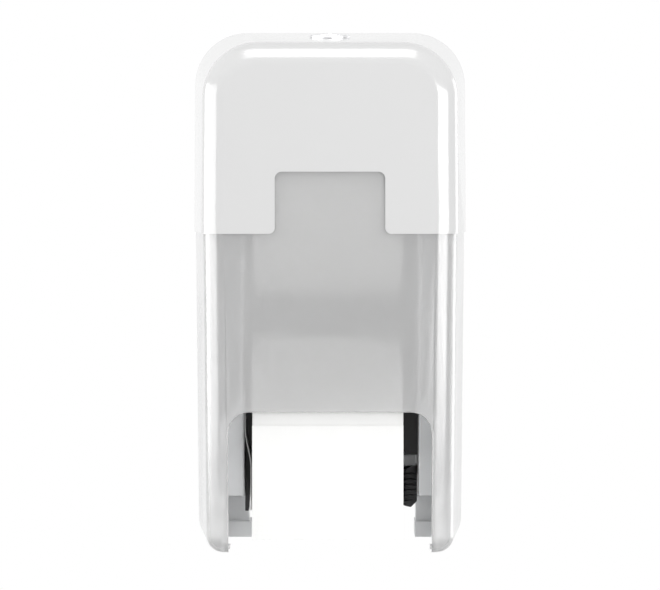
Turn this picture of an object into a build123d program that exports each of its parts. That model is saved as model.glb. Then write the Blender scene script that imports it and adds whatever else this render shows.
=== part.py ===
from build123d import *
import os
from math import cos, radians, sin, tan

# Double roll toilet paper dispenser for a wall, in millimetres. X runs to the right, the front
# faces -Y, the wall is the plane Y = 0 and Z is up. The origin is the centre of the four wall
# screws. Heights are measured from the bottom of the back plate's feet, and up() turns one into
# Z.

os.makedirs("parts", exist_ok=True)

# Case: overall sizes, and the slopes of its moulded walls in degrees
case_height = 344.0
case_width = 187.0
case_depth = 140.0
upper_cover_height = 136.5
side_flare = 4.2
top_slope = 5.0
lower_draft = 0.55
upper_draft = 0.4
top_corner_radius = 36.0
front_edge_radius = 15.5
foot_edge_radius = 12.0
foot_drop = 1.5

# Walls, from the outside inwards
upper_wall = 2.2
rabbet_wall = 1.0
lap_gap = 0.2
lower_wall = 2.4
chassis_gap = 1.7
chassis_wall = 2.5
wall_gap = 1.0

# Wall screws, by their distances to the edges of the case
screw_centre_rise = 28.0
screw_side_margin = 23.5
screw_end_margin = 82.0
screw_hole_diameter = 5.5

# Rolls: the largest that the case takes, with this room left round them. The axle is the line on
# which the plugs turn.
roll_depth_room = 12.0
roll_height_room = 44.0
roll_width_room = 88.0
roll_setback = 1.0
roll_foot_gap = 18.0
roll_gap = 23.0
roll_centre_x = -1.45
core_diameter = 34.0
core_wall = 1.5
pin_diameter = 9.0
tail_thickness = 0.3
tail_end_height = 6.8

# Frame inside the case
roll_end_gap = 0.45
left_rail_thickness = 5.2
right_rail_thickness = 10.0
cheek_thickness = 2.4
cheek_front_gap = 20.0
cheek_low = 35.0
cheek_top_drop = 7.0
tab_width = 12.0
tab_height = 16.0
tab_thickness = 2.5
tab_low_margin = 39.0
tab_middle_rise = 13.5
tab_high_margin = 34.0
tab_screw_diameter = 3.0
screw_depth_in_plate = 2.2

# Hinge of the cover
hinge_depth = 15.0
hinge_height = 13.0
hinge_pin_diameter = 4.0
lug_radius = 7.5
lug_thickness = 2.5

# Lock, set square to the sloping top
lock_setback = 4.0
lock_ring_diameter = 27.0
lock_body_diameter = 19.0
lock_cylinder_diameter = 14.0

# Gate and release
gate_depth = 10.0
gate_rise = 79.0
gate_gap = 0.5
gate_thickness = 3.0
gate_shaft_diameter = 6.0
heel_arm = 34.4
pin_drop = 10.0
rod_diameter = 2.5
rod_gap = 1.25
clip_radius = 3.6

# Clearances shared by several pieces, and the overrun of every cut
pin_clearance = 0.3
running_clearance = 0.08
fit_clearance = 0.05
seat_gap = 0.3
overrun = 20.0

seam_height = case_height - upper_cover_height
screw_centre_height = case_height / 2 + screw_centre_rise
screw_spacing_x = case_width - 2 * screw_side_margin
screw_spacing_z = case_height - 2 * screw_end_margin
roll_diameter = min(case_depth - roll_depth_room, case_height / 2 - roll_height_room)
roll_width = case_width - roll_width_room
roll_axis_depth = case_depth / 2 - roll_setback
roll_pitch = roll_diameter + roll_gap
lower_roll_height = roll_diameter / 2 + roll_foot_gap
upper_roll_height = lower_roll_height + roll_pitch
lock_depth = roll_axis_depth - lock_setback
gate_height = upper_roll_height + gate_rise
rod_depth = gate_depth + heel_arm
cheek_depth = case_depth - cheek_front_gap
cheek_high = upper_roll_height + roll_diameter / 2 - cheek_top_drop
tab_heights = (
    cheek_low + tab_low_margin,
    (cheek_low + cheek_high) / 2 + tab_middle_rise,
    cheek_high - tab_high_margin,
)
roll_left_x = roll_centre_x - roll_width / 2
roll_right_x = roll_centre_x + roll_width / 2
lower_inset = rabbet_wall + lap_gap
lower_inner_inset = lower_inset + lower_wall
chassis_inset = lower_inner_inset + chassis_gap
slot_width = pin_diameter + 2 * pin_clearance
left, right = -1, 1
slot_foot = {left: lower_roll_height, right: lower_roll_height - pin_drop}
rail_face = {
    left: roll_end_gap - roll_left_x,
    right: roll_end_gap + roll_right_x,
}
cheek_face = {
    left: rail_face[left] + left_rail_thickness,
    right: rail_face[right] + right_rail_thickness,
}
gate_x = {side: cheek_face[side] + cheek_thickness + gate_gap for side in (left, right)}
rod_x = gate_x[right] + gate_thickness + rod_gap + rod_diameter / 2
side_name = {left: "left", right: "right"}


def up(height):
    """Z of a height above the bottom edge."""
    return height - screw_centre_height


def half_width(height, depth, inset=0):
    """Half the case's width at a height and a distance from the wall, less an inset."""
    draft = upper_draft if height > seam_height else lower_draft
    narrowing = abs(height - seam_height) * tan(radians(draft))
    return case_width / 2 - narrowing - depth * tan(radians(side_flare)) - inset


def top_height(depth, inset=0):
    """Height of the sloping top at a distance from the wall, less an inset."""
    return case_height - depth * tan(radians(top_slope)) - inset


def block(x_span, y_span, height_span, mode=Mode.ADD):
    """Box between two corners, in the part that is being built."""
    (x0, x1), (y0, y1), (h0, h1) = sorted(x_span), sorted(y_span), sorted(height_span)
    with Locations(((x0 + x1) / 2, (y0 + y1) / 2, up((h0 + h1) / 2))):
        Box(x1 - x0, y1 - y0, h1 - h0, mode=mode)


def disc(x_span, depth, height, radius, mode=Mode.ADD):
    """Cylinder along X, in the part that is being built."""
    x0, x1 = sorted(x_span)
    with BuildSketch(Plane.YZ.offset(x0)) as face:
        with Locations((-depth, up(height))):
            Circle(radius)
    extrude(face.sketch, amount=x1 - x0, mode=mode)


def span(side, inner, outer):
    """X span of a piece on one side, from two distances to the middle plane."""
    return side * inner, side * outer


def tab_spots(side):
    """Places of the screws in one cheek's tabs, as X and Z."""
    x = side * (cheek_face[side] + cheek_thickness + tab_width / 2)
    return [(x, up(height)) for height in tab_heights]


def finish(part, name):
    """Labels a finished piece and writes it."""
    part.label = name
    export_step(part, f"parts/{name}.step")


# Case form
# The body of the case with its walls set in by an inset: a loft from the wall to the front, with
# rounded top corners, a rounded front edge and a rounded edge round the foot.
def case_outline(depth, inset, low, high):
    """Outline of the case across its width, at a distance from the wall."""
    points = [
        (half_width(low, depth, inset), up(low)),
        (half_width(seam_height, depth, inset), up(seam_height)),
        (half_width(high, depth, inset), up(high)),
    ]
    mirrored = [(-x, z) for x, z in reversed(points)]
    with BuildSketch(Plane.XZ.offset(depth)) as outline:
        with BuildLine():
            Polyline(*points, *mirrored, close=True)
        make_face()
        fillet(outline.vertices().group_by(Axis.Y)[-1], top_corner_radius - inset)
    return outline.sketch


def case_form(inset, low=None, high=None, back=-overrun):
    """Solid form of the case, or its slice between two heights, open past the wall plane."""
    foot = inset - lower_inset - foot_drop
    front = case_depth - inset
    with BuildPart() as form:
        profiles = [
            case_outline(depth, inset, foot, top_height(depth, inset)) for depth in (back, front)
        ]
        loft(profiles, ruled=True)
        rim = form.faces().sort_by(Axis.Y)[0].edges().sort_by(Axis.Z)[1:]
        fillet(rim, front_edge_radius - inset)
        foot_rim = form.faces().sort_by(Axis.Z)[0].edges().sort_by(Axis.Y)[:-1]
        fillet(foot_rim, foot_edge_radius - inset)
        if low is not None:
            block((-case_width, case_width), (-2 * case_depth, case_depth), (low, high),
                  mode=Mode.INTERSECT)
    return form.part


def trim_foot_edge():
    """Cuts what stands out of the rounded front edge of the lower cover's foot."""
    radius = foot_edge_radius - lower_inset + fit_clearance
    centre_y = foot_edge_radius - case_depth
    centre_z = up(foot_edge_radius - lower_inset - foot_drop)
    with BuildSketch(Plane.YZ.offset(-case_width)) as outside:
        with Locations((centre_y - case_depth / 2, centre_z - case_depth / 2)):
            Rectangle(case_depth, case_depth)
        with Locations((centre_y, centre_z)):
            Circle(radius, mode=Mode.SUBTRACT)
    extrude(outside.sketch, amount=2 * case_width, mode=Mode.SUBTRACT)


# Upper cover
# Opaque shell with the notch in its lower edge. Its lower band is thinner inside, where the
# translucent cover laps behind it, and carries four pegs for the push nuts.
notch_side_margin = 57.5
notch_height = 40.5
notch_top_radius = 4.5
notch_foot_radius = 4.0
lap_height = 54.5
peg_diameter = 3.0
peg_length = 4.8
peg_rise = 30.5
peg_margin = 38.0

notch_width = case_width - 2 * notch_side_margin
lap_top = seam_height + lap_height
peg_height = seam_height + peg_rise
peg_depths = (peg_margin, case_depth - peg_margin)


def peg_root(depth):
    """X distance of the rabbet's inner face at a peg."""
    return half_width(peg_height, depth, rabbet_wall)


lock_surface = Vector(0, -lock_depth, up(top_height(lock_depth)))
lock_plane = Plane(
    origin=lock_surface,
    x_dir=(1, 0, 0),
    z_dir=(0, -sin(radians(top_slope)), cos(radians(top_slope))),
)

with BuildPart() as upper_cover:
    add(case_form(0))
    add(case_form(upper_wall), mode=Mode.SUBTRACT)
    add(case_form(rabbet_wall, -overrun, lap_top + lap_gap), mode=Mode.SUBTRACT)
    with BuildSketch(Plane.XZ.offset(-overrun)) as lower_edge:
        with Locations((0, up(seam_height) - case_height / 2)):
            Rectangle(2 * case_width, case_height)
        with Locations((0, up(seam_height))):
            Rectangle(notch_width, 2 * notch_height)
        inside = lower_edge.vertices().filter_by(
            lambda vertex: abs(vertex.X) < notch_width
        )
        fillet(inside.group_by(Axis.Y)[-1], notch_top_radius)
        at_seam = lower_edge.vertices().filter_by(
            lambda vertex: abs(vertex.Y - up(seam_height)) < lap_gap
            and abs(vertex.X) < notch_width
        )
        fillet(at_seam, notch_foot_radius)
    extrude(lower_edge.sketch, amount=case_depth + 2 * overrun, mode=Mode.SUBTRACT)
    block((-case_width, case_width), (-wall_gap, 2 * overrun), (-overrun, case_height + overrun),
          mode=Mode.SUBTRACT)
    for side in (left, right):
        for depth in peg_depths:
            root = peg_root(depth)
            disc(span(side, root - peg_length, root + rabbet_wall / 2), depth, peg_height,
                 peg_diameter / 2)
    with BuildSketch(lock_plane.offset(-2 * upper_wall)) as lock_hole:
        Circle(lock_body_diameter / 2 + fit_clearance)
    extrude(lock_hole.sketch, amount=overrun, mode=Mode.SUBTRACT)
finish(upper_cover.part, "upper_cover")

# Lower cover
# Translucent shell with the arch for the paper, a lap that runs up behind the upper cover, lips
# along the legs, four small stiffeners and the two bosses of the hinge.
leg_width = 26.9
arch_rise = 8.8
arch_radius = 14.0
leg_lip_thickness = 2.2
leg_lip_depth = 8.5
leg_lip_start = 4.6
floor_edge_gap = 4.6
floor_lip_height = 3.4
floor_lip_back = 42.0
hook_reach = 1.3
hook_low = 1.2
hook_height = 2.8
rear_corner_radius = 13.0
boss_radius = 4.5
boss_end_gap = 0.6
boss_root = 1.0
bore_depth_in_wall = 1.1
stiffener_rise = 2.2
stiffener_drop = 55.0
stiffener_front_gap = 68.0
stiffener_width = 10.0
stiffener_thickness = 4.6
stiffener_reach = 8.0

arch_half_width = case_width / 2 - leg_width
arch_height = lower_roll_height + arch_rise
floor_edge_x = arch_half_width + floor_edge_gap
floor_middle = lower_wall / 2 - foot_drop
stiffener_heights = (arch_height + stiffener_rise, seam_height - stiffener_drop)
stiffener_front = case_depth - stiffener_front_gap
stiffener_depths = (stiffener_front - stiffener_width, stiffener_front)
lug_face = half_width(hinge_height, hinge_depth + lug_radius, chassis_inset)
hinge_wall = half_width(hinge_height, hinge_depth, lower_inner_inset)

with BuildPart() as lower_cover:
    add(case_form(lower_inset, -overrun, lap_top))
    add(case_form(lower_inner_inset), mode=Mode.SUBTRACT)
    with BuildSketch(Plane.XZ.offset(-overrun)) as arch:
        with Locations((0, up(arch_height) - case_height / 2)):
            Rectangle(2 * arch_half_width, case_height)
        fillet(arch.vertices().group_by(Axis.Y)[-1], arch_radius)
    extrude(arch.sketch, amount=case_depth + 2 * overrun, mode=Mode.SUBTRACT)
    block((-case_width, case_width), (-wall_gap, 2 * overrun), (-overrun, case_height + overrun),
          mode=Mode.SUBTRACT)
    with BuildSketch(Plane.YZ.offset(-case_width)) as rear_corner:
        with Locations((-hinge_depth + case_depth / 2, up(hinge_height) - case_depth / 2)):
            Rectangle(case_depth, case_depth)
        with Locations((-hinge_depth, up(hinge_height))):
            Circle(rear_corner_radius, mode=Mode.SUBTRACT)
    extrude(rear_corner.sketch, amount=2 * case_width, mode=Mode.SUBTRACT)
    for side in (left, right):
        lip = span(side, arch_half_width, arch_half_width + leg_lip_thickness)
        lip_front = case_depth - leg_lip_start
        lip_back = leg_lip_depth - lip_front
        block(lip, (-lip_front, lip_back), (floor_middle, arch_height - arch_radius))
        block(span(side, 0, floor_edge_x), (lip_back, overrun), (-overrun, arch_radius),
              mode=Mode.SUBTRACT)
        floor_lip = (floor_middle, floor_middle + lower_wall / 2 + floor_lip_height)
        block(span(side, floor_edge_x, floor_edge_x + leg_lip_thickness),
              (-floor_lip_back, lip_back), floor_lip)
        block(span(side, arch_half_width, floor_edge_x + leg_lip_thickness),
              (lip_back, lip_back - leg_lip_thickness), floor_lip)
        block(span(side, arch_half_width - hook_reach, arch_half_width + leg_lip_thickness),
              (-lip_front, lip_back), (hook_low, hook_low + hook_height))
        for low in stiffener_heights:
            wall = half_width(low, stiffener_depths[1], lower_inner_inset)
            block(span(side, wall - stiffener_reach, wall + lower_wall / 2),
                  [-depth for depth in stiffener_depths], (low, low + stiffener_thickness))
        disc(span(side, lug_face + boss_end_gap, hinge_wall + boss_root), hinge_depth,
             hinge_height, boss_radius)
        disc(span(side, lug_face, hinge_wall + bore_depth_in_wall), hinge_depth, hinge_height,
             hinge_pin_diameter / 2 + running_clearance, mode=Mode.SUBTRACT)
        for depth in peg_depths:
            root = peg_root(depth)
            disc(span(side, root - peg_length, root + lap_gap), depth, peg_height,
                 peg_diameter / 2 + lap_gap, mode=Mode.SUBTRACT)
    trim_foot_edge()
finish(lower_cover.part, "lower_cover")

# Push nuts
# Four spring washers pressed on the upper cover's pegs, against the lap of the lower cover.
push_nut_diameter = 8.0
push_nut_thickness = 0.8

with BuildPart() as push_nuts:
    for side in (left, right):
        for depth in peg_depths:
            back = half_width(peg_height, depth + push_nut_diameter / 2, lower_inner_inset)
            ring = span(side, back - push_nut_thickness - fit_clearance, back - fit_clearance)
            disc(ring, depth, peg_height, push_nut_diameter / 2)
            disc(ring, depth, peg_height, peg_diameter / 2 + fit_clearance, mode=Mode.SUBTRACT)
finish(push_nuts.part, "push_nuts")

# Back plate
# Tray that screws to the wall inside the cover: plate, rim, screw bosses, stiffening ribs, strike
# for the lock, lugs for the gate shaft, and at the foot the towers and lugs of the hinge. It is
# cut away below, where the paper hangs.
rim_depth = 22.0
plate_opening_margin = 40.5
plate_opening_height = 60.0
hinge_room_width = 27.3
hinge_room_height = 28.0
screw_boss_diameter = 15.0
screw_boss_height = 2.0
rib_thickness = 2.4
rib_height = 3.0
rib_pitch = 7.5
foot_depth = 33.0
foot_height = 10.6
foot_notch_height = 25.0
foot_side_margin = 23.1
foot_width = {left: 17.0, right: 12.5}
tower_depth = 30.0
tower_height = 27.5
tower_width = {left: 15.2, right: 11.8}
strike_x = (9.0, 22.0)
strike_drop = 44.0
strike_thickness = 4.0
strike_lip_gap = 3.1
strike_lip_thickness = 4.4
strike_lip_height = 17.0
gusset_thickness = 3.0
gusset_drop = 18.0
gusset_depth = 28.0
shaft_lug_radius = 6.0
shaft_lug_thickness = 2.5
shaft_lug_gap = 1.0

plate_opening_half_width = case_width / 2 - plate_opening_margin
hinge_room_x = case_width / 2 - hinge_room_width
foot_outer_x = case_width / 2 - foot_side_margin
foot_inner_x = {side: foot_outer_x - foot_width[side] for side in (left, right)}
tower_inner_x = {side: foot_outer_x - tower_width[side] for side in (left, right)}
roll_middle = (lower_roll_height + upper_roll_height) / 2
rib_heights = [roll_middle + level * rib_pitch for level in (-1, 0, 1)]
strike_height = case_height - strike_drop
strike_lip_back = lock_depth + strike_lip_gap
strike_lip_depths = (strike_lip_back, strike_lip_back + strike_lip_thickness)
strike_lip_top = strike_height + strike_lip_height
shaft_lug_x = (
    -(gate_x[left] + gate_thickness + shaft_lug_gap + shaft_lug_thickness),
    -shaft_lug_thickness / 2,
    rod_x + clip_radius,
)

with BuildPart() as back_plate:
    add(case_form(chassis_inset, back=0))
    block((-case_width, case_width), (-rim_depth, 0), (0, case_height), mode=Mode.INTERSECT)
    inner = case_form(chassis_inset + chassis_wall, back=chassis_wall)
    add(inner, mode=Mode.SUBTRACT)
    block((-plate_opening_half_width, plate_opening_half_width), (-case_depth, overrun),
          (-overrun, plate_opening_height), mode=Mode.SUBTRACT)
    opening_corners = back_plate.edges().filter_by(Axis.Y).filter_by(
        lambda edge: abs(abs(edge.center().X) - plate_opening_half_width) < fit_clearance
    )
    fillet(opening_corners.group_by(Axis.Z)[-1], arch_radius)
    for height in rib_heights:
        block((-plate_opening_half_width, plate_opening_half_width),
              (-chassis_wall - rib_height, -chassis_wall / 2),
              (height - rib_thickness / 2, height + rib_thickness / 2))
    for side in (left, right):
        for level in (-1, 1):
            spot = (side * screw_spacing_x / 2, level * screw_spacing_z / 2)
            with BuildSketch(Plane.XZ.offset(chassis_wall / 2)) as boss:
                with Locations(spot):
                    Circle(screw_boss_diameter / 2)
            extrude(boss.sketch, amount=screw_boss_height + chassis_wall / 2)
            with BuildSketch(Plane.XZ.offset(-overrun)) as screw_hole:
                with Locations(spot):
                    Circle(screw_hole_diameter / 2)
            extrude(screw_hole.sketch, amount=2 * overrun, mode=Mode.SUBTRACT)
        with BuildSketch(Plane.XZ.offset(chassis_wall - screw_depth_in_plate)) as pilot:
            with Locations(tab_spots(side)):
                Circle(tab_screw_diameter / 2 + fit_clearance)
        extrude(pilot.sketch, amount=chassis_wall, mode=Mode.SUBTRACT)
        room = span(side, hinge_room_x, case_width)
        block(room, (-case_depth, overrun), (-overrun, hinge_room_height), mode=Mode.SUBTRACT)
        block(span(side, 0, tower_inner_x[side]), (-case_depth, overrun),
              (-overrun, foot_notch_height), mode=Mode.SUBTRACT)
        foot = span(side, foot_inner_x[side], foot_outer_x)
        tower = span(side, tower_inner_x[side], foot_outer_x)
        block(foot, (-foot_depth, 0), (0, foot_height))
        block(tower, (-tower_depth, 0), (foot_height / 2, tower_height))
        lug = span(side, lug_face - lug_thickness, lug_face)
        disc(lug, hinge_depth, hinge_height, lug_radius)
        block(lug, (-hinge_depth - lug_radius, -hinge_depth + lug_radius),
              (hinge_height, hinge_room_height + lug_radius))
        disc(span(side, 0, case_width), hinge_depth, hinge_height,
             hinge_pin_diameter / 2 + fit_clearance, mode=Mode.SUBTRACT)
    block(strike_x, (-strike_lip_depths[1], -chassis_wall / 2),
          (strike_height, strike_height + strike_thickness))
    block(strike_x, [-depth for depth in strike_lip_depths], (strike_height, strike_lip_top))
    gusset_x = sum(strike_x) / 2 - gusset_thickness / 2
    with BuildSketch(Plane.YZ.offset(gusset_x)) as gusset:
        with BuildLine():
            Polyline(
                (-chassis_wall / 2, up(strike_height - gusset_drop)),
                (-chassis_wall / 2, up(strike_height + strike_thickness / 2)),
                (-gusset_depth, up(strike_height + strike_thickness / 2)),
                (-gusset_depth, up(strike_height)),
                close=True,
            )
        make_face()
    extrude(gusset.sketch, amount=gusset_thickness)
    for x in shaft_lug_x:
        lug = (x, x + shaft_lug_thickness)
        disc(lug, gate_depth, gate_height, shaft_lug_radius)
        block(lug, (-gate_depth, -chassis_wall / 2),
              (gate_height - shaft_lug_radius, gate_height + shaft_lug_radius))
        disc(lug, gate_depth, gate_height, gate_shaft_diameter / 2 + running_clearance,
             mode=Mode.SUBTRACT)
finish(back_plate.part, "back_plate")

# Hinge pins
# Two steel pins that pass the tower and the lug of the back plate into the cover's bosses.
pin_inner_gap = 0.6
pin_end_gap = 0.3

for side in (left, right):
    with BuildPart() as hinge_pin:
        disc(span(side, tower_inner_x[side] + pin_inner_gap,
                  hinge_wall + bore_depth_in_wall - pin_end_gap),
             hinge_depth, hinge_height, hinge_pin_diameter / 2)
    finish(hinge_pin.part, f"{side_name[side]}_hinge_pin")

# Cheeks
# Side panels that stand on the back plate with screwed tabs. The slot guides the roll's pin from
# the front channel down to its bearing. The right slot is deeper, so that the pin can drop with
# the release latch, which passes the window below it. Each front edge turns outwards in a flange
# with a rounded shoulder.
channel_rise = 35.0
flange_side_gap = 20.7
flange_shoulder_drop = 2.5
flange_shoulder_rise = 22.0
shoulder_mid_shares = (0.62, 0.58)
cheek_corner_radius = 8.0
window_rod_gap = 6.4
window_front = 15.0
window_drop = 34.5
bracket_rise = 18.0
bracket_thickness = 2.4
bracket_half_depth = 5.5
bracket_reach = 3.6

channel_height = upper_roll_height + channel_rise
flange_outer_x = case_width / 2 - flange_side_gap
flange_shoulder_low = lower_roll_height - flange_shoulder_drop
flange_shoulder_high = lower_roll_height + flange_shoulder_rise
window_depths = (rod_depth - window_rod_gap, roll_axis_depth + window_front)
window_height = lower_roll_height - window_drop
bracket_height = lower_roll_height + bracket_rise


def cut_pin_slot(side, inner, outer):
    """Cuts the pin's path: the upright slot and the channel that opens to the front."""
    x_span = span(side, inner - fit_clearance, outer + fit_clearance)
    half = slot_width / 2
    block(x_span, (-roll_axis_depth - half, -roll_axis_depth + half),
          (slot_foot[side], channel_height), mode=Mode.SUBTRACT)
    block(x_span, (-case_depth, -roll_axis_depth), (channel_height - half, channel_height + half),
          mode=Mode.SUBTRACT)
    for height in (slot_foot[side], channel_height):
        disc(x_span, roll_axis_depth, height, half, mode=Mode.SUBTRACT)


for side in (left, right):
    face = cheek_face[side]
    panel = span(side, face, face + cheek_thickness)
    with BuildPart() as cheek:
        block(panel, (-cheek_depth, -chassis_wall), (cheek_low, cheek_high))
        front_corner = cheek.edges().filter_by(Axis.X).group_by(Axis.Y)[0].sort_by(Axis.Z)[-1]
        fillet(front_corner, cheek_corner_radius)
        with BuildSketch(Plane.XZ.offset(cheek_depth - cheek_thickness)) as flange:
            width = flange_outer_x - face
            rise = flange_shoulder_high - flange_shoulder_low
            shoulder_mid = (
                side * (face + width * shoulder_mid_shares[0]),
                up(flange_shoulder_low + rise * shoulder_mid_shares[1]),
            )
            with BuildLine():
                Polyline(
                    (side * face, up(flange_shoulder_high)),
                    (side * face, up(cheek_low)),
                    (side * flange_outer_x, up(cheek_low)),
                    (side * flange_outer_x, up(flange_shoulder_low)),
                )
                ThreePointArc(
                    (side * flange_outer_x, up(flange_shoulder_low)),
                    shoulder_mid,
                    (side * face, up(flange_shoulder_high)),
                )
            make_face()
        extrude(flange.sketch, amount=cheek_thickness)
        for height in tab_heights:
            block(span(side, face, face + cheek_thickness + tab_width),
                  (-chassis_wall - tab_thickness, -chassis_wall),
                  (height - tab_height / 2, height + tab_height / 2))
        with BuildSketch(Plane.XZ.offset(0)) as tab_hole:
            with Locations(tab_spots(side)):
                Circle(tab_screw_diameter / 2 + fit_clearance)
        extrude(tab_hole.sketch, amount=overrun, mode=Mode.SUBTRACT)
        cut_pin_slot(side, face, face + cheek_thickness)
        if side == right:
            block(panel, [-depth for depth in window_depths], (-overrun, window_height),
                  mode=Mode.SUBTRACT)
            block(span(side, face + cheek_thickness / 2, rod_x + bracket_reach),
                  (-rod_depth - bracket_half_depth, -rod_depth + bracket_half_depth),
                  (bracket_height - bracket_thickness, bracket_height))
            with BuildSketch(Plane.XY.offset(up(cheek_low))) as rod_hole:
                with Locations((rod_x, -rod_depth)):
                    Circle(rod_diameter / 2 + running_clearance)
            extrude(rod_hole.sketch, amount=bracket_height, mode=Mode.SUBTRACT)
    finish(cheek.part, f"{side_name[side]}_cheek")

# Cheek screws
# Six pan-head screws that hold the tabs of both cheeks to the back plate.
screw_head_diameter = 6.5
screw_head_height = 1.6

with BuildPart() as cheek_screws:
    spots = tab_spots(left) + tab_spots(right)
    with BuildSketch(Plane.XZ.offset(chassis_wall + tab_thickness)) as heads:
        with Locations(spots):
            Circle(screw_head_diameter / 2)
    extrude(heads.sketch, amount=screw_head_height)
    with BuildSketch(Plane.XZ.offset(chassis_wall - screw_depth_in_plate)) as shanks:
        with Locations(spots):
            Circle(tab_screw_diameter / 2)
    extrude(shanks.sketch, amount=tab_thickness + screw_depth_in_plate)
finish(cheek_screws.part, "cheek_screws")

# Guide rails
# Black rails on the inner faces of the cheeks, cut by the same pin slot. The left one reaches
# further down and thins there. The right one ends above the release button and has a groove for
# the stem of the latch.
rail_half_width = 15.0
rail_top_rise = 14.0
right_rail_drop = 22.4
right_rail_chamfer = 3.0
left_rail_drop = 60.0
left_waist_drop = 2.0
left_rail_foot_thickness = 2.4
groove_depth = 6.0

rail_top = channel_height + rail_top_rise
right_rail_low = lower_roll_height - right_rail_drop
left_rail_low = lower_roll_height - left_rail_drop
left_rail_waist = lower_roll_height - left_waist_drop
rail_depths = (roll_axis_depth - rail_half_width, roll_axis_depth + rail_half_width)

for side in (left, right):
    inner, outer = rail_face[side], cheek_face[side]
    low = right_rail_low if side == right else left_rail_low
    with BuildPart() as guide_rail:
        with BuildSketch(Plane.XZ.offset(rail_depths[0])) as section:
            if side == right:
                outline = [
                    (outer, low),
                    (inner + right_rail_chamfer, low),
                    (inner, low + right_rail_chamfer),
                    (inner, rail_top),
                    (outer, rail_top),
                ]
            else:
                outline = [
                    (outer, low),
                    (outer - left_rail_foot_thickness, low),
                    (inner, left_rail_waist),
                    (inner, rail_top),
                    (outer, rail_top),
                ]
            with BuildLine():
                Polyline([(side * x, up(height)) for x, height in outline], close=True)
            make_face()
        extrude(section.sketch, amount=rail_depths[1] - rail_depths[0])
        cut_pin_slot(side, inner, outer)
        if side == right:
            block((inner, inner + groove_depth),
                  (-roll_axis_depth - slot_width / 2, -roll_axis_depth + slot_width / 2),
                  (low, lower_roll_height), mode=Mode.SUBTRACT)
    finish(guide_rail.part, f"{side_name[side]}_guide_rail")

# Brake leaf
# Thin spring blade riveted to the left cheek in front of the rail. It bows inwards until it lies
# beside the end of the lower roll.
leaf_thickness = 0.7
leaf_roll_gap = 1.1
leaf_gap = 17.5
leaf_width = 13.5
leaf_top_rise = 16.0
leaf_bend_drop = 4.0
leaf_bow_drop = 30.0
leaf_end_drop = 58.4

leaf_back = roll_axis_depth + leaf_gap
leaf_depths = (leaf_back, leaf_back + leaf_width)
leaf_top = lower_roll_height + leaf_top_rise
leaf_bend_top = lower_roll_height - leaf_bend_drop
leaf_bend_low = lower_roll_height - leaf_bow_drop
leaf_low = lower_roll_height - leaf_end_drop
leaf_face = rail_face[left] - roll_end_gap + leaf_roll_gap

with BuildPart() as brake_leaf:
    with BuildSketch(Plane.XZ.offset(leaf_depths[0])) as blade:
        with BuildLine() as path:
            outer_x = -cheek_face[left] + leaf_thickness / 2
            inner_x = -leaf_face - leaf_thickness / 2
            Line((outer_x, up(leaf_top)), (outer_x, up(leaf_bend_top)))
            Spline(
                (outer_x, up(leaf_bend_top)),
                (inner_x, up(leaf_bend_low)),
                tangents=[(0, -1), (0, -1)],
            )
            Line((inner_x, up(leaf_bend_low)), (inner_x, up(leaf_low)))
        trace(path.line, line_width=leaf_thickness)
    extrude(blade.sketch, amount=leaf_depths[1] - leaf_depths[0])
finish(brake_leaf.part, "brake_leaf")

# Rolls
# Each roll is wound paper on a cardboard core, with a plug in each end of the core. A plug is a
# cup with a hub and the pin that runs in the rails.
cup_depth = 16.0
cup_wall = 1.6
cup_floor = 2.0
hub_diameter = 14.0
hub_length = 10.0
pin_reach = {side: gate_x[side] + gate_thickness for side in (left, right)}
cup_radius = core_diameter / 2 - core_wall - fit_clearance

for name, height in (("lower", lower_roll_height), ("upper", upper_roll_height)):
    roll_x = (roll_left_x, roll_right_x)
    with BuildPart() as roll_paper:
        disc(roll_x, roll_axis_depth, height, roll_diameter / 2)
        disc(roll_x, roll_axis_depth, height, core_diameter / 2 + fit_clearance,
             mode=Mode.SUBTRACT)
    finish(roll_paper.part, f"{name}_roll_paper")
    with BuildPart() as roll_core:
        disc(roll_x, roll_axis_depth, height, core_diameter / 2)
        disc(roll_x, roll_axis_depth, height, core_diameter / 2 - core_wall, mode=Mode.SUBTRACT)
    finish(roll_core.part, f"{name}_roll_core")
    for side in (left, right):
        end = rail_face[side] - roll_end_gap
        with BuildPart() as plug:
            disc(span(side, end - cup_depth, end), roll_axis_depth, height, cup_radius)
            disc(span(side, end - cup_depth, end - cup_floor), roll_axis_depth, height,
                 cup_radius - cup_wall, mode=Mode.SUBTRACT)
            disc(span(side, end - cup_floor - hub_length, end - cup_floor / 2), roll_axis_depth,
                 height, hub_diameter / 2)
            disc(span(side, end - cup_floor / 2, pin_reach[side]), roll_axis_depth, height,
                 pin_diameter / 2)
        finish(plug.part, f"{name}_{side_name[side]}_plug")

# Paper tail
# Free end of the lower roll, hanging in front of it.
tail_depth = roll_axis_depth + roll_diameter / 2 + seat_gap

with BuildPart() as paper_tail:
    block((roll_left_x, roll_right_x), (-tail_depth - tail_thickness, -tail_depth),
          (tail_end_height, lower_roll_height))
finish(paper_tail.part, "paper_tail")

# Lock
# A threaded body with a ring on the top face, a nut below, a cylinder with a key slot that turns
# in the body, and a cam held on the cylinder's end by a screw. The cam points to the wall when
# the lock is open.
ring_height = 1.8
ring_edge = 1.0
lock_body_length = 18.0
key_slot_width = 2.4
key_slot_length = 9.0
key_slot_depth = 12.0
cylinder_proud = 0.6
lock_nut_width = 24.0
lock_nut_thickness = 5.0
nut_sides = 6
cam_width = 9.0
cam_length = 20.0
cam_thickness = 4.0
cam_root_radius = 7.2
cam_screw_head_diameter = 8.0
cam_screw_head_height = 2.6
cam_screw_diameter = 4.0
cam_screw_length = 9.0
cam_level = -lock_body_length - running_clearance


def lock_disc(low, high, radius, mode=Mode.ADD):
    """Cylinder on the lock's axis between two levels from the top face."""
    with BuildSketch(lock_plane.offset(low)) as face:
        Circle(radius)
    extrude(face.sketch, amount=high - low, mode=mode)


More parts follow.
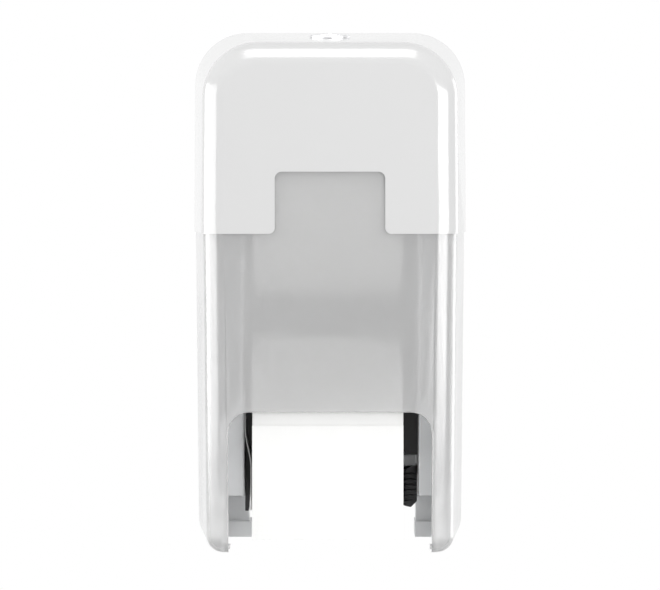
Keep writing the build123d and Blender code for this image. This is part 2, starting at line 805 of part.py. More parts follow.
with BuildPart() as lock_body:
    lock_disc(fit_clearance, ring_height, lock_ring_diameter / 2)
    chamfer(lock_body.faces().sort_by(Axis.Z)[-1].edges(), ring_edge)
    lock_disc(-lock_body_length, fit_clearance, lock_body_diameter / 2)
    lock_disc(-overrun, overrun, lock_cylinder_diameter / 2 + running_clearance,
              mode=Mode.SUBTRACT)
finish(lock_body.part, "lock_body")

with BuildPart() as lock_nut:
    nut_top = -upper_wall - fit_clearance
    with BuildSketch(lock_plane.offset(nut_top - lock_nut_thickness)) as hexagon:
        RegularPolygon(lock_nut_width / 2, nut_sides, major_radius=False)
    extrude(hexagon.sketch, amount=lock_nut_thickness)
    lock_disc(-overrun, overrun, lock_body_diameter / 2 + fit_clearance, mode=Mode.SUBTRACT)
finish(lock_nut.part, "lock_nut")

with BuildPart() as lock_cylinder:
    lock_disc(cam_level, ring_height + cylinder_proud, lock_cylinder_diameter / 2)
    with BuildSketch(lock_plane.offset(ring_height + cylinder_proud)) as key_slot:
        Rectangle(key_slot_width, key_slot_length)
    extrude(key_slot.sketch, amount=-key_slot_depth, mode=Mode.SUBTRACT)
    lock_disc(cam_level - overrun, cam_level + cam_screw_length - cam_thickness,
              cam_screw_diameter / 2 + fit_clearance, mode=Mode.SUBTRACT)
finish(lock_cylinder.part, "lock_cylinder")

with BuildPart() as lock_cam:
    with BuildSketch(lock_plane.offset(cam_level - cam_thickness)) as cam_face:
        Circle(cam_root_radius)
        with Locations((0, (cam_length - cam_width / 2) / 2)):
            Rectangle(cam_width, cam_length - cam_width / 2)
        with Locations((0, cam_length - cam_width / 2)):
            Circle(cam_width / 2)
        Circle(cam_screw_diameter / 2 + fit_clearance, mode=Mode.SUBTRACT)
    extrude(cam_face.sketch, amount=cam_thickness)
finish(lock_cam.part, "lock_cam")

with BuildPart() as cam_screw:
    head_top = cam_level - cam_thickness
    lock_disc(head_top - cam_screw_head_height, head_top, cam_screw_head_diameter / 2)
    lock_disc(head_top, head_top + cam_screw_length, cam_screw_diameter / 2)
finish(cam_screw.part, "cam_screw")

# Gate
# Holds the upper roll until the lower one is used up. A shaft across the back plate carries one
# arm outside each cheek, with a toe under the pin of the upper roll. The right arm has a heel
# with a slot for the pull rod.
gate_hub_radius = 7.0
toe_thickness = 6.0
toe_reach = 5.0
elbow_radius = 4.0
elbow_back = 15.0
heel_radius = 5.0
heel_slot_play = 1.2
heel_slot_clearance = 0.4
shaft_overhang = 1.2

toe_top = upper_roll_height - pin_diameter / 2 - seat_gap

with BuildPart() as gate_shaft:
    disc((shaft_lug_x[0] - shaft_overhang, shaft_lug_x[-1] + shaft_lug_thickness + shaft_overhang),
         gate_depth, gate_height, gate_shaft_diameter / 2)
finish(gate_shaft.part, "gate_shaft")

for side in (left, right):
    start = min(span(side, gate_x[side], gate_x[side] + gate_thickness))
    elbow = (-roll_axis_depth + elbow_back, up(toe_top) - elbow_radius)
    with BuildPart() as gate:
        with BuildSketch(Plane.YZ.offset(start)) as arm:
            with Locations((-gate_depth, up(gate_height))):
                Circle(gate_hub_radius)
            with Locations(elbow):
                Circle(elbow_radius)
            make_hull()
            toe_length = elbow_back + toe_reach
            with Locations((elbow[0] - toe_length / 2, up(toe_top) - toe_thickness / 2)):
                Rectangle(toe_length, toe_thickness)
        extrude(arm.sketch, amount=gate_thickness)
        if side == right:
            with BuildSketch(Plane.YZ.offset(start)) as heel:
                with Locations((-gate_depth, up(gate_height))):
                    Circle(gate_hub_radius)
                with Locations((-rod_depth, up(gate_height))):
                    Circle(heel_radius)
                make_hull()
            extrude(heel.sketch, amount=gate_thickness)
            with BuildSketch(Plane.YZ.offset(start)) as heel_slot:
                with Locations((-rod_depth, up(gate_height))):
                    SlotCenterToCenter(2 * heel_slot_play, rod_diameter + 2 * heel_slot_clearance)
            extrude(heel_slot.sketch, amount=gate_thickness, mode=Mode.SUBTRACT)
        disc(span(side, gate_x[side] - gate_gap, gate_x[side] + gate_thickness + gate_gap),
             gate_depth, gate_height, gate_shaft_diameter / 2 + fit_clearance,
             mode=Mode.SUBTRACT)
    finish(gate.part, f"{side_name[side]}_gate")

# Gate spring
# Torsion spring on the shaft beside the left arm, drawn as the sleeve that its turns fill.
gate_spring_wire = 1.0
gate_spring_length = 12.0
gate_spring_gap = 0.4

with BuildPart() as gate_spring:
    spring_x = span(left, gate_x[left] - gate_gap - cheek_thickness - gate_spring_gap,
                    gate_x[left] - gate_gap - cheek_thickness - gate_spring_gap
                    - gate_spring_length)
    disc(spring_x, gate_depth, gate_height,
         gate_shaft_diameter / 2 + gate_spring_gap + gate_spring_wire)
    disc(spring_x, gate_depth, gate_height, gate_shaft_diameter / 2 + gate_spring_gap,
         mode=Mode.SUBTRACT)
finish(gate_spring.part, "gate_spring")

# Release latch
# Slides down in the right rail. Its stem is the seat of the lower roll's right pin; behind the
# button it drops to an arm that passes under the cheek and holds the pull rod.
latch_gap = 0.4
stem_width = 9.0
neck_half_depth = 11.0
neck_side_gap = 1.3
web_depth = 2.4
arm_height = 5.0
arm_drop = 42.0
arm_outer_gap = 3.2
button_top_drop = 29.9

neck_depths = (roll_axis_depth - neck_half_depth, roll_axis_depth + neck_half_depth)
neck_outer_x = cheek_face[right] - neck_side_gap
arm_low = lower_roll_height - arm_drop
button_top = lower_roll_height - button_top_drop
neck_top = right_rail_low - latch_gap
seat_height = lower_roll_height - pin_diameter / 2 - seat_gap
latch_inner_x = rail_face[right] + latch_gap

with BuildPart() as release_latch:
    block((latch_inner_x, latch_inner_x + groove_depth - 2 * latch_gap),
          (-roll_axis_depth - stem_width / 2, -roll_axis_depth + stem_width / 2),
          (button_top, seat_height))
    block((latch_inner_x, neck_outer_x), [-depth for depth in neck_depths],
          (button_top, neck_top))
    block((latch_inner_x, neck_outer_x),
          (-neck_depths[0] - web_depth / 2, -neck_depths[0] + web_depth / 2),
          (arm_low, neck_top))
    block((latch_inner_x, rod_x + arm_outer_gap),
          (-neck_depths[0] - web_depth / 2, -rod_depth + arm_outer_gap),
          (arm_low, arm_low + arm_height))
    with BuildSketch(Plane.XY.offset(up(arm_low))) as rod_seat:
        with Locations((rod_x, -rod_depth)):
            Circle(rod_diameter / 2 + fit_clearance)
    extrude(rod_seat.sketch, amount=arm_height, mode=Mode.SUBTRACT)
finish(release_latch.part, "release_latch")

# Release button
# Ribbed black pad on the front of the latch, pushed down with a finger.
button_height = 28.0
button_back = 9.0
button_front = 14.0
button_slant = 3.4
button_rib_count = 6
button_rib_height = 1.6
button_rib_proud = 1.0
button_edge = 1.0

button_low = button_top - button_height
button_depths = (roll_axis_depth - button_back, roll_axis_depth + button_front)
with BuildPart() as release_button:
    button_face = rail_face[right] + latch_gap
    button_outer = cheek_face[right] - latch_gap
    with BuildSketch(Plane.XZ.offset(button_depths[0])) as pad:
        with BuildLine():
            Polyline(
                (button_face, up(button_low)),
                (button_outer, up(button_low)),
                (button_outer, up(button_top)),
                (button_outer - button_slant, up(button_top)),
                (button_face, up(button_top - button_slant)),
                close=True,
            )
        make_face()
    extrude(pad.sketch, amount=button_depths[1] - button_depths[0])
    button_rib_pitch = (button_top - button_slant - button_low) / button_rib_count
    for index in range(button_rib_count):
        rib_low = button_low + button_rib_pitch * (index + 1 / 2) - button_rib_height / 2
        block((button_face + button_edge, button_outer - button_edge),
              (-button_depths[1] - button_rib_proud, -button_depths[1] + button_edge),
              (rib_low, rib_low + button_rib_height))
finish(release_button.part, "release_button")

# Pull rod
# Steel wire from the latch's arm up to the heel of the right gate, with its top end bent inwards
# through the slot.
rod_bend_radius = 3.0
rod_hook_overlap = 0.4

with BuildPart() as pull_rod:
    hook_x = gate_x[right] - gate_gap + rod_hook_overlap / 4
    with BuildLine() as rod_path:
        FilletPolyline(
            (rod_x, -rod_depth, up(arm_low)),
            (rod_x, -rod_depth, up(gate_height)),
            (hook_x, -rod_depth, up(gate_height)),
            radius=rod_bend_radius,
        )
    with BuildSketch(Plane.XY.offset(up(arm_low))) as rod_section:
        with Locations((rod_x, -rod_depth)):
            Circle(rod_diameter / 2)
    sweep(rod_section.sketch, path=rod_path.line)
finish(pull_rod.part, "pull_rod")

# Rod clip and release spring
# The spring stands on the right cheek's bracket and lifts the rod by a clip in its groove. It is
# drawn as the sleeve that its turns fill.
clip_rise = 43.0
clip_thickness = 1.0
release_spring_radius = 3.2
release_spring_bore = 1.9

clip_height = lower_roll_height + clip_rise

with BuildPart() as rod_clip:
    with BuildSketch(Plane.XY.offset(up(clip_height))) as ring:
        with Locations((rod_x, -rod_depth)):
            Circle(clip_radius)
            Circle(rod_diameter / 2 + fit_clearance, mode=Mode.SUBTRACT)
    extrude(ring.sketch, amount=clip_thickness)
finish(rod_clip.part, "rod_clip")

with BuildPart() as release_spring:
    with BuildSketch(Plane.XY.offset(up(bracket_height + fit_clearance))) as sleeve:
        with Locations((rod_x, -rod_depth)):
            Circle(release_spring_radius)
            Circle(release_spring_bore, mode=Mode.SUBTRACT)
    extrude(sleeve.sketch, amount=clip_height - bracket_height - 2 * fit_clearance)
finish(release_spring.part, "release_spring")
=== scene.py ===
import bmesh
import bpy
import random
from math import atan2, degrees, pi, radians
from mathutils import Matrix, Vector, noise


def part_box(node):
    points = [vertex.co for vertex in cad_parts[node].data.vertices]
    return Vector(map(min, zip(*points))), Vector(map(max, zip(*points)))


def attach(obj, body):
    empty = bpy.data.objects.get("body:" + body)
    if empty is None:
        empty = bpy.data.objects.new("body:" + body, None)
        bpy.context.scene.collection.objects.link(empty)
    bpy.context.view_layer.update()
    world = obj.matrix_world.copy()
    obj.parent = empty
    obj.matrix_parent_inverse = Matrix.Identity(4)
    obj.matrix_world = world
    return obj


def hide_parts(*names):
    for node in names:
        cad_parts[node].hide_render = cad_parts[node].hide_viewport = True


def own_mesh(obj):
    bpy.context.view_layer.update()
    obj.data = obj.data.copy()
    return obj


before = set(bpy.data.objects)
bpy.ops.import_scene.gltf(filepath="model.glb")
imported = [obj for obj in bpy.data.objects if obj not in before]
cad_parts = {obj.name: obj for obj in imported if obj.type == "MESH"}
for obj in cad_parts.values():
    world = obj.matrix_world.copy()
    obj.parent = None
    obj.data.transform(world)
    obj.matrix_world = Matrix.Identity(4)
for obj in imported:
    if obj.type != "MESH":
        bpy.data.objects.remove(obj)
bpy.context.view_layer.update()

# The studio
# The dispenser hangs on a wall at its usual height over a pale floor, seen by a long lens from
# 2.6 metres. A white surround lights it from every side, and four soft boxes give the gloss.
camera_data = bpy.data.cameras.new("camera")
camera_data.lens = 208.7
camera_data.sensor_width = 36.0
camera_data.clip_start = 0.1
camera_data.clip_end = 60.0
camera = bpy.data.objects.new("camera", camera_data)
camera.location = (0.0, -2.633, 0.0361)
camera.rotation_euler = (radians(90 - 1.572), 0, 0)
bpy.context.scene.collection.objects.link(camera)
bpy.context.scene.camera = camera
bpy.context.scene.view_settings.view_transform = "Standard"


class Wire:
    """Output of a shader node. An expression on wires adds the Math nodes that work it out."""

    def __init__(self, socket):
        self.socket = socket

    def node(self, kind, settings={}, inputs={}, output=0):
        """Adds a node of a type to the same tree, with its settings and what its sockets take."""
        made = self.socket.id_data.nodes.new("ShaderNode" + kind)
        for name, value in settings.items():
            if name == "stops":
                made.color_ramp.elements.remove(made.color_ramp.elements[1])
                made.color_ramp.elements[0].position = value[0][0]
                for at, _ in value[1:]:
                    made.color_ramp.elements.new(at)
                for stop, (_, colour) in zip(made.color_ramp.elements, value):
                    stop.color = colour
            else:
                setattr(made, name, value)
        for name, value in inputs.items():
            if isinstance(value, Wire):
                value.socket.id_data.links.new(value.socket, made.inputs[name])
            else:
                made.inputs[name].default_value = value
        return Wire(made.outputs[output])

    def into(self, shader, name):
        self.socket.id_data.links.new(self.socket, shader.inputs[name])

    def maths(self, operation, first, second):
        return self.node("Math", {"operation": operation}, {0: first, 1: second})

    def __add__(self, other):
        return self.maths("ADD", self, other)

    def __radd__(self, other):
        return self.maths("ADD", other, self)

    def __sub__(self, other):
        return self.maths("SUBTRACT", self, other)

    def __rsub__(self, other):
        return self.maths("SUBTRACT", other, self)

    def __mul__(self, other):
        return self.maths("MULTIPLY", self, other)

    def __rmul__(self, other):
        return self.maths("MULTIPLY", other, self)

    def __truediv__(self, other):
        return self.maths("DIVIDE", self, other)

    def __pow__(self, other):
        return self.maths("POWER", self, other)


def new_finish(name):
    """New material, as its shader and the wire of its object coordinates."""
    material = bpy.data.materials.new(name)
    material.use_nodes = True
    nodes = material.node_tree.nodes
    place = Wire(nodes.new("ShaderNodeTexCoord").outputs["Object"])
    return material, nodes["Principled BSDF"], place


def shade(value):
    """Grey as a shader's colour."""
    return (value, value, value, 1.0)


world = bpy.data.worlds.new("surround")
bpy.context.scene.world = world
world.use_nodes = True
sky = world.node_tree.nodes["Background"]
ray = Wire(world.node_tree.nodes.new("ShaderNodeLightPath").outputs["Is Camera Ray"])
glossy = Wire(ray.socket.node.outputs["Is Glossy Ray"])
through = Wire(ray.socket.node.outputs["Is Transmission Ray"])
seen = ray.maths("MAXIMUM", ray, ray.maths("MAXIMUM", glossy * 0.85, through))
surround_level = 0.45
sky.inputs["Color"].default_value = shade(1.0)
(seen * (1 - surround_level) + surround_level).into(sky, "Strength")

for name, place, turn, size, radiance in (
    ("left panel", (-1.5, -0.375, 0.1), (0, radians(-90), 0), (0.82, 2.25), 3.0),
    ("right panel", (1.5, 1.5, 0.05), (0, radians(90), 0), (1.2, 1.6), 1.25),
    ("front panel", (1.42, -1.56, 0.06), (radians(90), 0, radians(44)), (1.9, 0.76), 4.55),
    ("top panel", (0.0, -1.0, 1.5), (0, 0, 0), (1.0, 1.6), 3.1),
):
    lamp_data = bpy.data.lights.new(name, "AREA")
    lamp_data.shape = "RECTANGLE"
    lamp_data.size, lamp_data.size_y = size
    lamp_data.energy = radiance * pi * size[0] * size[1]
    lamp = bpy.data.objects.new(name, lamp_data)
    lamp.location = place
    lamp.rotation_euler = turn
    lamp.visible_camera = False
    bpy.context.scene.collection.objects.link(lamp)

floor_material, floor_shader, floor_place = new_finish("pale floor")
floor_shader.inputs["Roughness"].default_value = 0.7
floor_shader.inputs["Emission Strength"].default_value = 1.0
floor_ray = Wire(floor_material.node_tree.nodes.new("ShaderNodeLightPath").outputs["Is Camera Ray"])
floor_tone = floor_place.node("TexNoise", {}, {"Vector": floor_place, "Scale": 3.0})
floor_place.node(
    "Mix", {"data_type": "RGBA"}, {0: floor_tone, 6: shade(0.84), 7: shade(0.88)}, 2
).into(floor_shader, "Base Color")
floor_place.node(
    "Mix", {"data_type": "RGBA"}, {0: floor_ray, 6: shade(0.0), 7: shade(0.35)}, 2
).into(floor_shader, "Emission Color")
floor_shape = bmesh.new()
bmesh.ops.create_grid(floor_shape, x_segments=8, y_segments=8, size=3.0,
                      matrix=Matrix.Translation((0, -1.0, -1.15)))
floor_mesh = bpy.data.meshes.new("floor")
floor_shape.to_mesh(floor_mesh)
floor_shape.free()
floor = bpy.data.objects.new("floor", floor_mesh)
floor_mesh.materials.append(floor_material)
bpy.context.scene.collection.objects.link(floor)


# Back plate
# Tray of grey polystyrene, injection moulded in one piece with its ribs, lugs and hinge towers,
# and held to the wall by four screws.
def moulded(name, colour, roughness=0.4, spread=0.06, grain=900.0, relief=0.00001, coat=0.0):
    """Finish of a moulded plastic: faint flow marks in the colour and the mould's fine grain."""
    material, shader, place = new_finish(name)
    low = tuple(part * (1 - spread) for part in colour)
    marks = place.node("TexNoise", {}, {"Vector": place, "Scale": 26.0, "Detail": 3.0})
    place.node(
        "Mix", {"data_type": "RGBA"}, {0: marks, 6: (*low, 1.0), 7: (*colour, 1.0)}, 2
    ).into(shader, "Base Color")
    fine = place.node("TexNoise", {}, {"Vector": place, "Scale": grain, "Detail": 1.0})
    (marks * 0.08 + fine * 0.06 + (roughness - 0.07)).into(shader, "Roughness")
    place.node(
        "Bump", {}, {"Strength": 1.0, "Distance": relief, "Height": fine}
    ).into(shader, "Normal")
    shader.inputs["IOR"].default_value = 1.5
    shader.inputs["Coat Weight"].default_value = coat
    shader.inputs["Coat Roughness"].default_value = 0.14
    return material


def as_piece(name, shape, body, *materials):
    """Turns a finished bmesh into a piece that rides on a body."""
    mesh = bpy.data.meshes.new(name)
    shape.to_mesh(mesh)
    shape.free()
    mesh.shade_smooth()
    mesh.set_sharp_from_angle(angle=radians(32))
    piece = bpy.data.objects.new(name, mesh)
    bpy.context.scene.collection.objects.link(piece)
    for material in materials:
        mesh.materials.append(material)
    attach(piece, body)
    return piece


def cad_shape(*nodes, flat_faces=True):
    """The shape of some CAD nodes, with the triangles of its flat faces joined."""
    shape = bmesh.new()
    for node in nodes:
        shape.from_mesh(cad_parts[node].data)
    bmesh.ops.remove_doubles(shape, verts=shape.verts, dist=2e-6)
    if flat_faces:
        bmesh.ops.dissolve_limit(shape, angle_limit=radians(0.3), verts=shape.verts,
                                 edges=shape.edges)
    for face in shape.faces:
        face.material_index = 0
    return shape


def eased(piece, width, segments=2, angle=35):
    """Rounds a piece's sharp edges as the mould or the tool leaves them."""
    bevel = piece.modifiers.new("eased edges", "BEVEL")
    bevel.width = width
    bevel.segments = segments
    bevel.limit_method = "ANGLE"
    bevel.angle_limit = radians(angle)
    bevel.harden_normals = True


grey = moulded("grey polystyrene", (0.79, 0.80, 0.81), 0.42)
back_plate = as_piece("back_plate_tray", cad_shape("back_plate"), "chassis", grey)
eased(back_plate, 0.0004)
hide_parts("back_plate")


# Hinge pins
# Two ground steel pins with chamfered ends and a retaining groove. They pass the towers and lugs
# of the back plate into the bosses of the cover.
def drawn_metal(name, colour, roughness, streaks=(1.0, 1.0, 40.0)):
    """Finish of drawn or turned metal: fine scratches along one direction and slight stains."""
    material, shader, place = new_finish(name)
    stains = place.node("TexNoise", {}, {"Vector": place, "Scale": 55.0, "Detail": 4.0})
    dark = tuple(part * 0.86 for part in colour)
    place.node(
        "Mix", {"data_type": "RGBA"}, {0: stains, 6: (*dark, 1.0), 7: (*colour, 1.0)}, 2
    ).into(shader, "Base Color")
    along = place.node("Mapping", {}, {"Vector": place, "Scale": streaks})
    scratches = place.node("TexNoise", {}, {"Vector": along, "Scale": 260.0, "Detail": 2.0})
    (scratches * 0.16 + stains * 0.1 + (roughness - 0.1)).into(shader, "Roughness")
    place.node(
        "Bump", {}, {"Strength": 1.0, "Distance": 0.00001, "Height": scratches}
    ).into(shader, "Normal")
    shader.inputs["Metallic"].default_value = 1.0
    return material


def spun(profile, steps=48, closed=False):
    """Shape turned about the Z axis from half of its section, given as radii and heights."""
    shape = bmesh.new()
    points = [shape.verts.new((radius, 0, level)) for radius, level in profile]
    pairs = list(zip(points, points[1:])) + ([(points[-1], points[0])] if closed else [])
    edges = [shape.edges.new(pair) for pair in pairs]
    bmesh.ops.spin(shape, geom=points + edges, cent=(0, 0, 0), axis=(0, 0, 1), angle=2 * pi,
                   steps=steps, use_merge=True, use_duplicate=False)
    bmesh.ops.remove_doubles(shape, verts=shape.verts, dist=1e-6)
    bmesh.ops.recalc_face_normals(shape, faces=shape.faces)
    return shape


def set_at(shape, place, turn=0.0, axis="X"):
    """Turns a shape about an axis through the origin and moves it to its place."""
    matrix = Matrix.Translation(place) @ Matrix.Rotation(turn, 4, axis)
    bmesh.ops.transform(shape, matrix=matrix, verts=shape.verts)
    return shape


def bar_profile(radius, length, chamfer, groove_at=(), groove_width=0.0006, groove_depth=0.0003):
    """Half section of a turned bar with chamfered ends, and grooves at some levels."""
    half = length / 2
    profile = [(0, -half), (radius - chamfer, -half), (radius, chamfer - half)]
    for level in groove_at:
        for at, depth in ((-1, 0), (-1, groove_depth), (1, groove_depth), (1, 0)):
            profile.append((radius - depth, level + at * groove_width / 2))
    return profile + [(radius, half - chamfer), (radius - chamfer, half), (0, half)]


steel = drawn_metal("zinc plated steel", (0.66, 0.67, 0.68), 0.32)
pin_radius = 0.002
pin_chamfer = 0.0004
for side in ("left", "right"):
    low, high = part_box(f"{side}_hinge_pin")
    length = high.x - low.x
    shape = spun(bar_profile(pin_radius, length, pin_chamfer, [0.3 * length]), steps=40)
    set_at(shape, (low + high) / 2, pi / 2, "Y")
    pin = as_piece(f"{side}_hinge_pin_steel", shape, "chassis", steel)
    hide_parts(f"{side}_hinge_pin")


# Cheeks
# Two side panels of the same grey plastic, each with a pin slot, a turned-out front edge and three
# tabs for screws. The fold of the left one is the rounder.
def front_rounded(shape, half_width, radius, segments):
    """Rounds the sharp edges in a shape's front plane that lie within a half width of X."""
    tolerance = 0.00002
    front = min(vert.co.y for vert in shape.verts)
    sharp = [edge for edge in shape.edges
             if all(vert.co.y < front + tolerance and abs(vert.co.x) < half_width + tolerance
                    for vert in edge.verts) and edge.calc_face_angle(0.0) > radians(60)]
    bmesh.ops.bevel(shape, geom=sharp, offset=radius, offset_type="OFFSET", segments=segments,
                    profile=0.5, affect="EDGES", material=-1, clamp_overlap=False)


for side, fold_radius in (("left", 0.002), ("right", 0.0006)):
    cheek_shape = cad_shape(f"{side}_cheek")
    inner = min(abs(vert.co.x) for vert in cheek_shape.verts)
    front_rounded(cheek_shape, inner, fold_radius, 5)
    cheek = as_piece(f"{side}_cheek_panel", cheek_shape, "chassis", grey)
    eased(cheek, 0.0004)
    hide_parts(f"{side}_cheek")


# Cheek screws
# Six zinc plated pan-head screws with a cross recess, three in the tabs of each cheek.
def carved(shape, cutter):
    """Takes the form of a cutter out of a shape."""
    objects = []
    for name, form in (("blank", shape), ("cutter", cutter)):
        mesh = bpy.data.meshes.new(name)
        form.to_mesh(mesh)
        form.free()
        objects.append(bpy.data.objects.new(name, mesh))
        bpy.context.scene.collection.objects.link(objects[-1])
    blank, tool = objects
    boolean = blank.modifiers.new("carve", "BOOLEAN")
    boolean.operation = "DIFFERENCE"
    boolean.solver = "EXACT"
    boolean.object = tool
    result = bmesh.new()
    result.from_object(blank, bpy.context.evaluated_depsgraph_get())
    for item in objects:
        mesh = item.data
        bpy.data.objects.remove(item)
        bpy.data.meshes.remove(mesh)
    return result


def cross_screw(head_radius, head_height, shank_radius, shank_length):
    """Pan-head screw with a cross recess, its head standing on the level 0 and facing up."""
    shape = spun([
        (0, head_height), (0.55 * head_radius, 0.96 * head_height),
        (0.82 * head_radius, 0.78 * head_height), (0.96 * head_radius, 0.48 * head_height),
        (head_radius, 0.18 * head_height), (0.97 * head_radius, 0), (shank_radius, 0),
        (shank_radius, 0.7 * shank_radius - shank_length),
        (0.4 * shank_radius, -shank_length), (0, -shank_length),
    ])
    for turn in (0, pi / 2):
        blade = bmesh.new()
        bmesh.ops.create_cube(blade, size=1.0)
        for vert in blade.verts:
            if vert.co.z < 0:
                vert.co.x *= 0.45
        bmesh.ops.scale(blade, verts=blade.verts,
                        vec=(1.1 * head_radius, 0.2 * head_radius, 1.2 * head_height))
        set_at(blade, (0, 0, head_height), turn, "Z")
        shape = carved(shape, blade)
    return shape


def joined(shapes):
    """One shape out of several."""
    whole = bmesh.new()
    for shape in shapes:
        mesh = bpy.data.meshes.new("share")
        shape.to_mesh(mesh)
        shape.free()
        whole.from_mesh(mesh)
        bpy.data.meshes.remove(mesh)
    return whole


screw_low, screw_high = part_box("cheek_screws")
screw_head_radius = 0.00325
screw_head_height = 0.0016
screw_shank_radius = 0.0015
screw_shank_length = 0.0047
tab_depth = 0.005
screw_rows = (-0.126, -0.024, 0.056)
screw_shapes = []
for x in (screw_low.x + screw_head_radius, screw_high.x - screw_head_radius):
    for turn, z in enumerate(screw_rows):
        one = cross_screw(screw_head_radius, screw_head_height, screw_shank_radius,
                          screw_shank_length)
        set_at(one, (0, 0, 0), 0.5 + 0.7 * turn + 9.0 * x, "Z")
        screw_shapes.append(set_at(one, (x, -tab_depth, z), pi / 2, "X"))
screws = as_piece("cheek_screw_set", joined(screw_shapes), "chassis", steel)
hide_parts("cheek_screws")


# Guide rails
# Black acetal strips snapped into the cheeks, in which the pins of the rolls slide down.
black = moulded("black acetal", (0.024, 0.024, 0.026), 0.34, spread=0.3, relief=0.00002)
for side in ("left", "right"):
    rail = as_piece(f"{side}_rail_strip", cad_shape(f"{side}_guide_rail"), "chassis", black)
    eased(rail, 0.0005)
    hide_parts(f"{side}_guide_rail")


# Brake leaf
# Thin blade of spring steel, riveted to the left cheek at its top. It bows inwards beside the end
# of the lower roll and slows it.
spring_steel = drawn_metal("spring steel", (0.86, 0.86, 0.85), 0.42, (1.0, 40.0, 1.0))
leaf_low, leaf_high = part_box("brake_leaf")
leaf_thickness = 0.0008
leaf_twist = 0.0016
leaf_curl = 0.0005
bow_start = -0.122
bow_height = 0.026
leaf_middle = (leaf_low + leaf_high) / 2
leaf_shape = bmesh.new()
bmesh.ops.create_grid(leaf_shape, x_segments=60, y_segments=6, size=0.5)
for vert in leaf_shape.verts:
    height = leaf_low.z + (vert.co.x + 0.5) * (leaf_high.z - leaf_low.z)
    bow = min(max((bow_start - height) / bow_height, 0.0), 1.0)
    reach = (leaf_high.x - leaf_low.x - leaf_thickness) * bow * bow * (3 - 2 * bow)
    curl = leaf_curl * max(0.0, 1 - (vert.co.x + 0.5) / 0.06)
    width = (leaf_high.y - leaf_low.y) * (1 - 0.25 * max(0.0, 1 - (vert.co.x + 0.5) / 0.04))
    twist = leaf_twist * (0.5 + vert.co.y) * bow
    vert.co = Vector((leaf_low.x + reach - curl + twist, leaf_middle.y + vert.co.y * width, height))
bmesh.ops.recalc_face_normals(leaf_shape, faces=leaf_shape.faces)
bmesh.ops.solidify(leaf_shape, geom=leaf_shape.faces, thickness=leaf_thickness)
bmesh.ops.translate(leaf_shape, verts=leaf_shape.verts,
                    vec=(leaf_low.x - min(vert.co.x for vert in leaf_shape.verts), 0, 0))
leaf_shapes = [leaf_shape]
for drop in (0.0035, 0.0125):
    rivet = spun([(0, 0.0006), (0.0009, 0.0005), (0.0015, 0.0002), (0.0016, -0.0002)], steps=24)
    rivet_place = (leaf_low.x + leaf_thickness, leaf_middle.y, leaf_high.z - drop)
    leaf_shapes.append(set_at(rivet, rivet_place, pi / 2, "Y"))
leaf = as_piece("brake_leaf_blade", joined(leaf_shapes), "chassis", spring_steel)
eased(leaf, 0.0001)
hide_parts("brake_leaf")


# Gate shaft
# Steel rod across the back plate, chamfered, with a groove near each end. It turns in three lugs.
gate_low, gate_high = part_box("gate_shaft")
gate_axis = (gate_low + gate_high) / 2
gate_length = gate_high.x - gate_low.x
shaft_radius = 0.003
shaft_chamfer = 0.0006
groove_inset = 0.0014
shape = spun(bar_profile(shaft_radius, gate_length, shaft_chamfer,
                         [groove_inset - gate_length / 2, gate_length / 2 - groove_inset]))
shaft = as_piece("gate_shaft_rod", set_at(shape, gate_axis, pi / 2, "Y"), "gate", steel)
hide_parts("gate_shaft")


# Gate arms
# Two black moulded arms with a sunk web, pressed on the shaft. Their toes hold the upper roll.
web_margin = 0.0012
web_depth = 0.0005
for side in ("left", "right"):
    arm_shape = cad_shape(f"{side}_gate")
    flats = [face for face in arm_shape.faces if abs(face.normal.x) > 0.99]
    for sign in (-1, 1):
        flat = [face for face in flats if face.normal.x * sign > 0]
        bmesh.ops.inset_region(arm_shape, faces=flat, thickness=web_margin, depth=-web_depth,
                               use_even_offset=True, use_boundary=True)
    arm = as_piece(f"{side}_gate_arm", arm_shape, "gate", black)
    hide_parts(f"{side}_gate")


# Gate spring
# Torsion spring of ten turns round the shaft. One end rests on the plate, the other on the arm.
def wound(wire_radius, mean_radius, windings, steps=24, sides=10):
    """Wire wound round the Z axis from level 0, as turns and the pitch of each winding."""
    shape = bmesh.new()
    matrix = Matrix.Translation((mean_radius, 0, 0)) @ Matrix.Rotation(pi / 2, 4, "X")
    bmesh.ops.create_circle(shape, segments=sides, radius=wire_radius, matrix=matrix)
    end = shape.verts[:] + shape.edges[:]
    for turns, pitch in windings:
        end = bmesh.ops.spin(shape, geom=end, cent=(0, 0, 0), axis=(0, 0, 1),
                             dvec=(0, 0, pitch / steps), angle=2 * pi * turns,
                             steps=round(turns * steps), use_merge=False,
                             use_duplicate=False)["geom_last"]
    return shape


def drawn_out(shape, edges, *moves):
    """Draws an open end of a wire or bar along some moves, and gives its new edges."""
    for move in moves:
        made = bmesh.ops.extrude_edge_only(shape, edges=edges)["geom"]
        ends = [item for item in made if isinstance(item, bmesh.types.BMVert)]
        bmesh.ops.translate(shape, verts=ends, vec=move)
        edges = [item for item in made if isinstance(item, bmesh.types.BMEdge)
                 and all(vert in ends for vert in item.verts)]
    return edges


def capped(shape):
    """Closes the open ends of a shape and turns its faces outwards."""
    bmesh.ops.remove_doubles(shape, verts=shape.verts, dist=1e-6)
    bmesh.ops.holes_fill(shape, edges=[edge for edge in shape.edges if edge.is_boundary])
    bmesh.ops.recalc_face_normals(shape, faces=shape.faces)
    return shape


